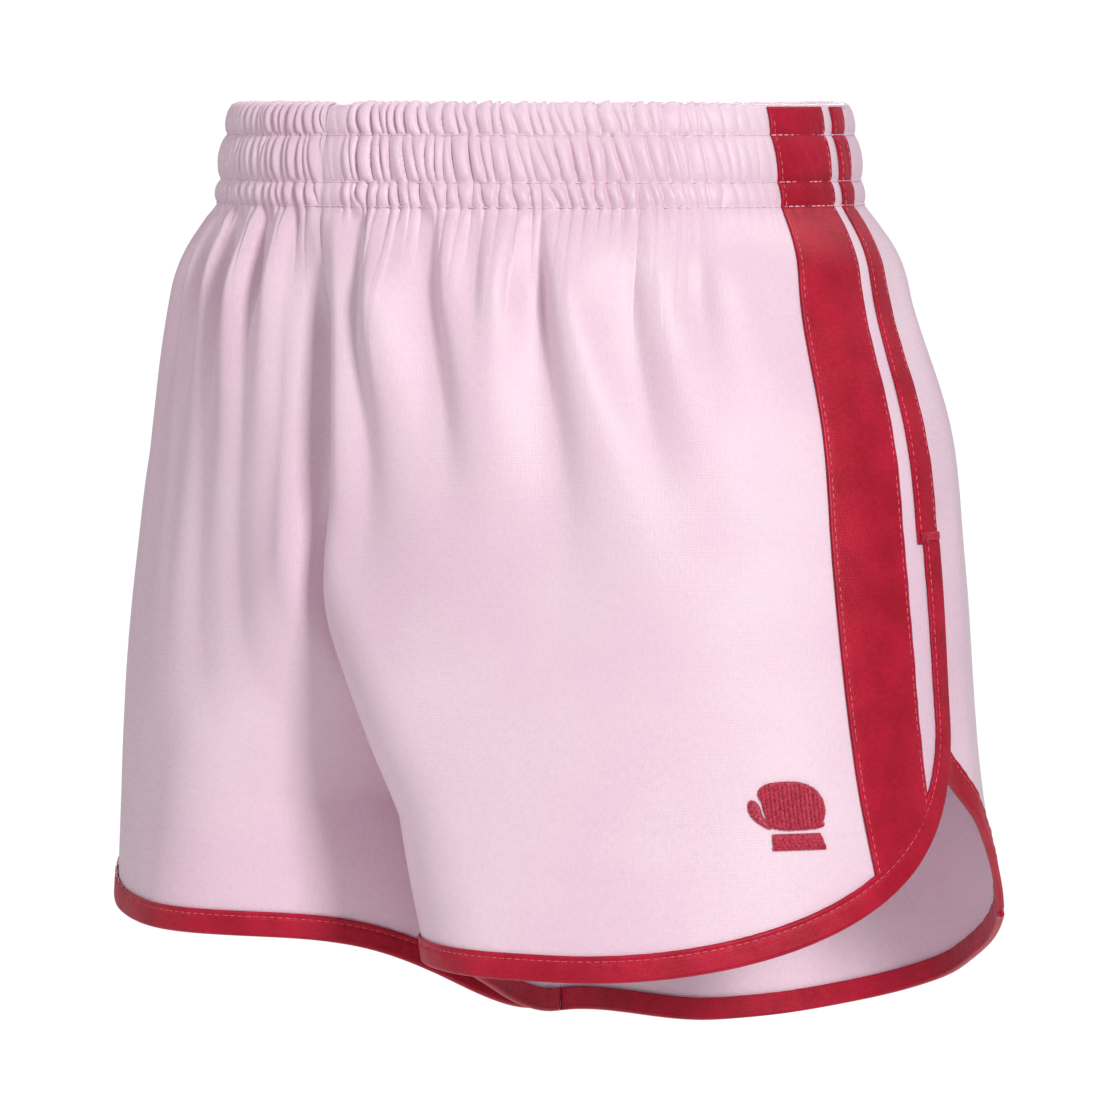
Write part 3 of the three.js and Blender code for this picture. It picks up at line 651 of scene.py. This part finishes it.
def bindingPiece(name, edge, inward, side, panel, node, flip):
    place, turn, at = alongEdge(edge, inward)
    length = at[-1]

    def lay(u, v):
        around = np.interp(u * length, at, place[:, 0])
        drop = np.interp(u * length, at, place[:, 1])
        dr = np.interp(u * length, at, turn[:, 0])
        dd = np.interp(u * length, at, turn[:, 1])
        inside, out = tapeProfile(v)
        # The topstitching draws the tape in a little at each stitch.
        near = np.exp(-(((inside - bindingSettings["stitchIn"]) / 0.7) ** 2)) * (out > 0)
        pull = 0.3 * near + 0.10 * np.sin(u * length * 1.9) * near
        ripple = 0.22 * np.sin(u * length * 0.83 + 3 * side) * np.sin(u * length * 0.31)
        ripple = ripple * smooth(inside, 2, 6) * np.sign(out)
        end = np.exp(-((np.minimum(u, 1 - u) * length / 1.2) ** 2))
        out = out * (1 - 0.95 * end)
        points = onCloth(around + dr * inside, drop + dd * inside, out - pull + ripple, side, panel)
        return points, np.stack([u * length, inside + 20 * (out > 0)], -1) * mm

    piece = sheetPiece(name, int(length / 1.6), 44, lay, redSatin,
                       thick=bindingSettings["thick"], flip=flip)
    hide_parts(node)
    return place, turn


def frontEdgeLine():
    high, wide = form["cornerHigh"], form["cornerWide"]
    top = form["frontLength"] - high
    side = [((0, d), (1, 0)) for d in np.linspace(form["vent"] - 1.5, top, 12)[:-1]]
    angles = np.radians(np.linspace(0, 90, 40))
    corner = [((wide * (1 - math.cos(a)), top + high * math.sin(a)),
               (math.cos(a) / wide, -math.sin(a) / high)) for a in angles]
    corner = [(p, tuple(np.array(n) / np.hypot(*n))) for p, n in corner]
    end = float(body.ends(inseamDrop)[0]) - 0.4
    hem = [((r, float(frontHem(r))), (0, -1)) for r in np.linspace(wide, end, 40)[1:]]
    return zip(*(side + corner + hem))


def backVentLine():
    top, corner = backCorners()
    slant = np.array([-(form["lap"] + form["backCorner"]), corner - top])
    slant /= np.hypot(*slant)
    inward = (-slant[1], slant[0])
    side = [((form["lap"], d), (-1, 0)) for d in np.linspace(form["vent"] + 4, top - 5, 10)]
    turn = [((form["lap"], top - 1), (-0.96, -0.25)), ((form["lap"] - 1, top + 1), (-0.83, -0.55))]
    rounds = np.linspace(form["lap"] - 5, -form["backCorner"] + 1, 14)
    low = [((r, float(backHem(r))), inward) for r in rounds]
    return zip(*(side + turn + low))


def backHemLine():
    end = -float(body.ends(inseamDrop)[1]) + 0.4
    rounds = np.linspace(-form["backCorner"] + 2.5, end, 60)
    return [(r, float(backHem(min(r, -form["backCorner"])))) for r in rounds], [(0, -1)] * 60


bindings = {}
for side, word in sides.items():
    edge, inward = frontEdgeLine()
    bindings["front", side] = bindingPiece("frontHemBinding_" + word, edge, inward, side, "front",
                                           "front_hem_binding_" + word, side < 0)
    edge, inward = backHemLine()
    bindings["back", side] = bindingPiece("backHemBinding_" + word, edge, inward, side, "back",
                                          "back_hem_binding_" + word, side > 0)
    edge, inward = backVentLine()
    bindings["vent", side] = bindingPiece("backVentBinding_" + word, edge, inward, side, "back",
                                          "back_vent_binding_" + word, side > 0)
print("bindings made")


bandSettings = {"front": 50.0, "back": 19.0, "seamTape": 12.0, "thick": 0.4, "out": 0.75, "over": 0.6}


def bandSurface(around, drop, across, wide, side):
    # A satin strip on the cloth, its long edges turned under.
    edge = np.minimum(across, wide - across)
    roll = -0.45 * np.exp(-((edge / 0.45) ** 2)) - 0.16 * np.exp(-(((edge - 1.7) / 0.6) ** 2))
    wave = 0.16 * np.sin(drop * 0.33 + side) * np.sin(drop * 0.127 + 2 * side)
    out = bandSettings["out"] + roll + wave
    for row in form["rows"]:  # the rows of stitching pinch the band too
        out = out - 0.5 * np.exp(-(((drop - row) / 0.9) ** 2))
    points = onCloth(around, np.maximum(drop, 0), out, side, "front")
    points[:, 2] += np.where(drop < 0, bandSettings["over"], 0) * mm
    return points, np.stack([drop, across], -1) * mm


def makeSideBand(side, word):
    b = bandSettings
    wide = b["front"] - b["back"]

    def place(u, v):
        around = b["front"] - wide * u
        bottom = frontHem(around) - form["binding"] + 1.0
        drop = -b["over"] + v * (bottom + b["over"])
        return bandSurface(around, drop, u * wide, wide, side)

    piece = sheetPiece("sideBand_" + word, 40, 240, place, redSatin,
                       thick=b["thick"], flip=side < 0)
    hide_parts("side_band_" + word)


def makeSeamTape(side, word):
    wide = bandSettings["seamTape"] - 0.3

    def place(u, v):
        around = bandSettings["seamTape"] - wide * u
        drop = -bandSettings["over"] + v * (form["vent"] + 1.5)
        return bandSurface(around, drop, u * wide, wide, side)

    piece = sheetPiece("sideSeamTape_" + word, 22, 150, place, redSatin,
                       thick=bandSettings["thick"], flip=side < 0)
    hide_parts("side_seam_tape_" + word)


onBothSides(makeSideBand)
onBothSides(makeSeamTape)
print("bands made")


waistStitch = {"pitch": 3.1, "length": 2.5, "radius": 0.26, "out": 0.35, "onBand": 0.42}
bindingStitch = {"pitch": 2.9, "length": 2.3, "radius": 0.2}
bandStitch = {"pitch": 2.9, "length": 2.2, "radius": 0.23, "out": 0.98, "in": 1.7}


def threadLine(name, points, stitch, material, node=None, closed=False):
    # Short stitches laid end to end along a line, each a small rounded bar.
    points = np.array(points)
    if closed:
        points = np.vstack([points, points[:1]])
    run = np.concatenate([[0], np.cumsum(np.linalg.norm(np.diff(points, axis=0), axis=1))])
    count = max(1, int(run[-1] / (stitch["pitch"] * mm)))
    half = stitch["length"] * mm / 2
    bm = bmesh.new()
    for k in range(count):
        mid = (k + 0.5) * run[-1] / count
        ends = [[np.interp(mid + d, run, points[:, a]) for a in range(3)] for d in (-half, half)]
        addBar(bm, ends[0], ends[1], stitch["radius"] * mm)
    piece = finishPiece(bm, name, material)
    if node:
        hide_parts(node)


def addBar(bm, a, b, radius):
    a, b = Vector(a), Vector(b)
    turn = (b - a).to_track_quat("X", "Z").to_matrix().to_4x4()
    size = Matrix.Diagonal(((b - a).length / 2 + radius * 0.3, radius, radius, 1))
    bmesh.ops.create_uvsphere(bm, u_segments=5, v_segments=6, radius=1,
                              matrix=Matrix.Translation((a + b) / 2) @ turn @ size @ Matrix.Rotation(
                                  math.pi / 2, 4, "Y"))


def waistLine(drop):
    # Round the waist from the centre front, over the left half, the back and the right half.
    points = []
    for side in sides:
        front, back = body.ends(drop)
        rounds = np.arange(front, -back, -0.8)[::side]
        b = bandSettings
        onBand = (rounds > b["back"]) & (rounds < b["front"])
        onTape = (rounds > 0) & (rounds < b["seamTape"])
        out = waistStitch["out"] + waistStitch["onBand"] * (onBand | onTape)
        points.append(onCloth(rounds, np.full(len(rounds), drop), out, side, "front"))
    return np.vstack(points)


for k, drop in enumerate(form["rows"]):
    threadLine("waistStitching_%d" % (k + 1), waistLine(drop), waistStitch, pinkThread,
               "waist_stitch_row_%d" % (k + 1), closed=True)

for (kind, side), (place, turn) in bindings.items():
    inside = bindingSettings["stitchIn"]
    line = onCloth(place[:, 0] + turn[:, 0] * inside, place[:, 1] + turn[:, 1] * inside,
                   bindingSettings["stitchOut"], side, "front" if kind == "front" else "back")
    threadLine("%sBindingStitching_%s" % (kind, sides[side]), line, bindingStitch, topThread)

bandLines = [
    {"tag": "A", "at": bandSettings["front"] - bandStitch["in"], "end": None},
    {"tag": "B", "at": bandSettings["back"] + bandStitch["in"], "end": None},
    {"tag": "C", "at": bandSettings["seamTape"] - bandStitch["in"], "end": form["vent"] - 3},
    {"tag": "D", "at": 1.9, "end": form["vent"] - 3},
]
tackSettings = {
    "bars": 16, "above": 2.9, "pitch": 0.17, "from": 0.4, "to": 11.8, "zigzag": 0.1, "out": 1.75,
    "radius": 0.24,
}

for side, word in sides.items():
    for b in bandLines:
        drops = np.arange(1, b["end"] or float(frontHem(b["at"])) - form["binding"], 1.2)
        line = onCloth(np.full(len(drops), b["at"]), drops, bandStitch["out"], side, "front")
        threadLine("bandStitching%s_%s" % (b["tag"], word), line, bandStitch, topThread)

    bm = bmesh.new()
    s = tackSettings
    for k in range(s["bars"]):  # close bars across the top of the vent
        drop = form["vent"] - s["above"] + k * s["pitch"]
        drops = [drop, drop + s["zigzag"] * (-1) ** k]
        a, b = onCloth([s["from"], s["to"]], drops, s["out"] + s["zigzag"] * (k % 2), side, "front")
        addBar(bm, a, b, s["radius"] * mm)
    tack = finishPiece(bm, "ventBartack_" + word, redThread)
    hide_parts("vent_bartack_" + word)
print("stitching made")

# The emblem, a plain boxing glove in satin stitch, in millimetres from its middle.
emblemSettings = {"around": 77.0, "above": 58.0, "pitch": 0.40, "radius": 0.27, "out": 0.78, "bed": 0.5}
glove = {
    "fist": {"angle": 68, "points": [
        (-6.5, -4.6), (-9.2, 0.5), (-9.6, 4.0), (-10.4, 8.0), (-7.5, 11.0), (-1, 12.0),
        (6, 11.4), (11.2, 8.4), (13.0, 3.2), (11.6, -1.4), (9.4, -4.6)]},
    "thumb": {"angle": 20, "points": [
        (-8.0, -4.6), (-12.0, -2.6), (-14.6, 1.0), (-14.4, 4.6), (-12.2, 5.6),
        (-10.4, 3.4), (-10.0, 0.2), (-8.4, -2.6)]},
    "cuff": {"angle": 90, "points": [
        (-8.2, -6.2), (9.4, -6.2), (9.9, -9.0), (10.3, -12.0), (-9.0, -12.0), (-8.6, -9.0)]},
}


def softOutline(points, steps=8, sharp=False):
    # A closed curve through the points.
    p = np.array(points, float)
    n = len(p)
    made = []
    for i in range(n):
        a, b, c, d = p[i - 1], p[i], p[(i + 1) % n], p[(i + 2) % n]
        for t in np.linspace(0, 1, steps, endpoint=False):
            made.append(0.5 * (2 * b + (c - a) * t + (2 * a - 5 * b + 4 * c - d) * t * t
                               + (3 * b - a - 3 * c + d) * t ** 3))
    return np.array(p if sharp else made)


def isInside(points, loop):
    x, y = points[:, 0], points[:, 1]
    hit = np.zeros(len(points), bool)
    for (x1, y1), (x2, y2) in zip(loop, np.roll(loop, -1, axis=0)):
        if y1 == y2:
            continue
        cross = ((y1 > y) != (y2 > y)) & (x < (x2 - x1) * (y - y1) / (y2 - y1) + x1)
        hit ^= cross
    return hit


def makeEmblem():
    s = emblemSettings
    bm = bmesh.new()
    drop0 = form["frontLength"] - s["above"]
    for part, shape in glove.items():
        loop = softOutline(shape["points"], sharp=part == "cuff")
        angle = math.radians(shape["angle"])
        along = np.array([math.cos(angle), math.sin(angle)])
        across = np.array([-math.sin(angle), math.cos(angle)])
        for c in np.arange(-18, 18, s["pitch"]):
            t = np.arange(-20, 20, 0.15)
            inside = isInside(c * across + t[:, None] * along, loop)
            cuts = np.flatnonzero(np.diff(inside.astype(int)))
            for a, b in zip(cuts[::2], cuts[1::2]):
                row = int((c + 18) / s["pitch"] + 0.5)
                breaks = np.arange(-20 + (row % 4) * 1.3, 20, 5.2)
                breaks = breaks[(breaks > t[a] + 1) & (breaks < t[b] - 1)]
                marks = np.concatenate([[t[a]], breaks, [t[b]]])
                for m0, m1 in zip(marks[:-1], marks[1:]):
                    q = np.array([c * across + m0 * along, c * across + m1 * along])
                    ends = onCloth(s["around"] - q[:, 0], drop0 - q[:, 1], s["out"], 1, "front")
                    addBar(bm, ends[0], ends[1], s["radius"] * mm)
    for part, shape in glove.items():
        loop = softOutline(shape["points"], sharp=part == "cuff")
        middle = loop.mean(axis=0)
        loop = middle + (loop - middle) * 0.97
        ring = onCloth(s["around"] - loop[:, 0], drop0 - loop[:, 1], s["bed"], 1, "front")
        bmesh.ops.contextual_create(bm, geom=[bm.verts.new(co) for co in ring])
    piece = finishPiece(bm, "embroideredEmblem", redThread)
    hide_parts("embroidered_emblem")


makeEmblem()
print("emblem made")


pocketSettings = {
    "front": 115.0, "back": 9.0, "below": 2.0, "bottom": 195.0, "curve": 45.0, "curveWide": 119.0,
    "outer": -5.6, "inner": -6.8, "swell": {"outer": 0.0, "inner": 0.8}, "thick": 0.35,
}
seamSettings = {"wide": 8.0, "beside": 0.3, "inside": -1.3, "ridge": 0.25, "thick": 0.7}


def pocketBottom(around):
    s = pocketSettings
    return s["bottom"] - s["curve"] * (1 - np.sqrt(np.clip(1 - (around / s["curveWide"]) ** 4, 0, 1)))


def makePocketBag(side, word, layer):
    s = pocketSettings

    def lay(u, v):
        around = s["front"] - u * (s["front"] - s["back"])
        top = form["casing"] + s["below"]
        drop = top + v * (pocketBottom(around) - top)
        swell = -s["swell"][layer] * np.sin(u * math.pi) * np.sin(v * math.pi)
        out = s[layer] + swell + 0.25 * np.sin(drop * 0.09 + around * 0.05)
        points = onCloth(around, drop, out, side, "front", lifted=False)
        return points, np.stack([around, drop], -1) * mm

    piece = sheetPiece("pocketBag%s_%s" % (layer.capitalize(), word), 60, 90, lay, liningCloth,
                       thick=s["thick"], flip=side < 0)
    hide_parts("pocket_bag_%s_%s" % (layer, word))


def seamSurface(around, drop, u, overlock, side, panel):
    # A seam's edges, turned to the inside, with the ridges of their overlock stitch.
    s = seamSettings
    ridge = s["ridge"] * np.sin(overlock + u * 4) * smooth(u, 0.4, 0.9)
    points = onCloth(around, drop, s["inside"] + ridge, side, panel)
    return points, np.stack([drop, around], -1) * mm


def makeInseam(side, word):
    s = seamSettings

    def lay(u, v):
        drop = form["crotch"] + 3 + v * (inseamDrop - form["crotch"] - 14)
        around = body.ends(drop)[0] - s["beside"] - u * s["wide"]
        return seamSurface(around, drop, u, v * 64 * 2.4, side, "front")

    piece = sheetPiece("inseam_" + word, 10, 120, lay, liningCloth,
                       thick=s["thick"], flip=side < 0)
    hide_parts("inseam_" + word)


def makeRiseSeam(panel):
    s = seamSettings
    front = panel == "front"

    def lay(u, v):
        drop = form["casing"] + 2 + v * (form["crotch"] - 3 - form["casing"] - 2)
        ends = body.ends(drop)
        around = (ends[0] if front else ends[1]) - s["beside"] - u * s["wide"]
        return seamSurface(around if front else -around, drop, u, drop * 2.4, 1, panel)

    piece = sheetPiece(panel + "RiseSeam", 10, 240, lay, liningCloth,
                       thick=s["thick"], flip=not front)
    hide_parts(panel + "_rise_seam")


for side, word in sides.items():
    makePocketBag(side, word, "outer")
    makePocketBag(side, word, "inner")
    makeInseam(side, word)
makeRiseSeam("front")
makeRiseSeam("back")

elasticSettings = {"top": 1.5, "wide": 32.0, "inside": -2.4, "rib": 0.12, "thick": 1.1}


def makeElastic():
    # One strip round the whole waist, its ends welded at the centre front.
    s = elasticSettings
    bm = bmesh.new()
    bmesh.ops.create_grid(bm, x_segments=420, y_segments=20, size=0.5)
    flat = np.array([v.co[:2] for v in bm.verts]) + 0.5
    drop = s["top"] + flat[:, 1] * s["wide"]
    turn = flat[:, 0] * 2  # 0 to 1 over the left half from the front, then back over the right half
    left = turn <= 1
    share = np.where(left, turn, 2 - turn)
    front, back = body.ends(drop)
    around = front - share * (front + back)
    x, y, nx, ny = body.read(around, drop)
    far = s["inside"] + s["rib"] * np.sin(drop * 2.2)
    side = np.where(left, 1, -1)
    points = np.stack([side * (x + nx * far), y + ny * far, -drop], -1) * mm
    points[np.isclose(share, 0) | np.isclose(share, 1), 0] = 0
    for vert, co in zip(bm.verts, points):
        vert.co = co
    piece = finishPiece(bm, "waistElastic", elasticKnit,
                        np.stack([around * side, drop], -1) * mm)
    weld = piece.modifiers.new("Join", "WELD")
    weld.merge_threshold = 0.00002
    wall = piece.modifiers.new("Thickness", "SOLIDIFY")
    wall.thickness, wall.offset = s["thick"] * mm, 0
    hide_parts("waist_elastic")


makeElastic()

# The size label straddles the centre back; the care label hangs beside it.
labels = [
    {"name": "wovenLabel", "node": "woven_label", "wide": 34, "top": 8, "long": 20, "centre": None,
     "out": -6.6},
    {"name": "careLabel", "node": "care_label", "wide": 24, "top": 38, "long": 47, "centre": -22,
     "out": -6.4},
]


def makeLabel(s):
    def lay(u, v):
        across = (u - 0.5) * s["wide"]
        drop = s["top"] + v * s["long"]
        _, back = body.ends(drop)
        nearEdge = np.minimum(u, 1 - u) * s["wide"]
        curl = 0.25 * np.sin(v * math.pi) - 0.3 * np.exp(-(nearEdge ** 2))
        if s["centre"] is None:
            side = np.where(across >= 0, 1, -1)
            x, y, nx, ny = body.read(-(back - np.abs(across)), drop)
        else:
            side = 1
            x, y, nx, ny = body.read(s["centre"] + across, drop)
        far = s["out"] - curl
        points = np.stack([side * (x + nx * far), y + ny * far, -drop], -1) * mm
        if s["centre"] is None:
            points[np.abs(across) < 0.01, 0] = 0
        return points, np.stack([across, drop], -1) * mm

    piece = sheetPiece(s["name"], 24, 24, lay, labelWeave, thick=0.25)
    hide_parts(s["node"])


for label in labels:
    makeLabel(label)
print("inner pieces made")

# The floor lies below the camera's view. The world is white to the camera, and lights the cloth softly.
studio = {
    "light": 0.33, "backdrop": 1.3, "floorAt": -0.46, "floorRadius": 0.45, "lampsAim": (0, 0, -0.17),
}
softLights = [
    {"at": (2.2, -0.9, 0.7), "size": 0.45, "power": 47},
    {"at": (-1.5, -2.0, 0.8), "size": 0.8, "power": 19},
    {"at": (0.5, -2.1, -0.68), "size": 0.5, "power": 4},
    {"at": (0.2, 0.9, 1.9), "size": 1.0, "power": 14},
    {"at": (-1.8, 1.6, 0.5), "size": 1.0, "power": 16},
]
cameraSettings = {
    "azimuth": 45.0, "elevation": 4.5, "distance": 2.1, "lens": 182.0, "target": (0.004, 0.007, -0.167),
}

scene = bpy.context.scene

bm = bmesh.new()
bmesh.ops.create_circle(bm, cap_ends=True, segments=96, radius=studio["floorRadius"])
floorMesh = bpy.data.meshes.new("floor")
bm.to_mesh(floorMesh)
bm.free()
floor = bpy.data.objects.new("floor", floorMesh)
floor.location.z = studio["floorAt"]
scene.collection.objects.link(floor)
paleFloor, _, floorShader = nodeMaterial("paleFloor", 0.9, (0.93, 0.93, 0.93))
floorShader.inputs["Specular IOR Level"].default_value = 0.1
floor.data.materials.append(paleFloor)

world = scene.world or bpy.data.worlds.new("studio")
scene.world = world
world.use_nodes = True
nodes, link = world.node_tree.nodes, world.node_tree.links.new
nodes["Background"].inputs["Color"].default_value = (1, 1, 1, 1)
nodes["Background"].inputs["Strength"].default_value = studio["light"]
backdrop = nodes.new("ShaderNodeBackground")
backdrop.inputs["Strength"].default_value = studio["backdrop"]
rays = nodes.new("ShaderNodeLightPath")
mixer = nodes.new("ShaderNodeMixShader")
link(rays.outputs["Is Camera Ray"], mixer.inputs[0])
link(nodes["Background"].outputs[0], mixer.inputs[1])
link(backdrop.outputs[0], mixer.inputs[2])
link(mixer.outputs[0], nodes["World Output"].inputs[0])

for k, s in enumerate(softLights):
    data = bpy.data.lights.new("softbox%d" % k, "AREA")
    data.size, data.energy = s["size"], s["power"]
    lamp = bpy.data.objects.new("softbox%d" % k, data)
    lamp.location = s["at"]
    aim = Vector(studio["lampsAim"]) - Vector(s["at"])
    lamp.rotation_euler = aim.to_track_quat("-Z", "Y").to_euler()
    scene.collection.objects.link(lamp)

az, el = math.radians(cameraSettings["azimuth"]), math.radians(cameraSettings["elevation"])
away = Vector((math.sin(az) * math.cos(el), -math.cos(az) * math.cos(el), math.sin(el)))
cameraData = bpy.data.cameras.new("camera")
cameraData.lens = cameraSettings["lens"]
camera = bpy.data.objects.new("camera", cameraData)
camera.location = Vector(cameraSettings["target"]) + away * cameraSettings["distance"]
camera.rotation_euler = (-away).to_track_quat("-Z", "Y").to_euler()
scene.collection.objects.link(camera)
scene.camera = camera
scene.view_settings.view_transform = "Standard"

print("finished")
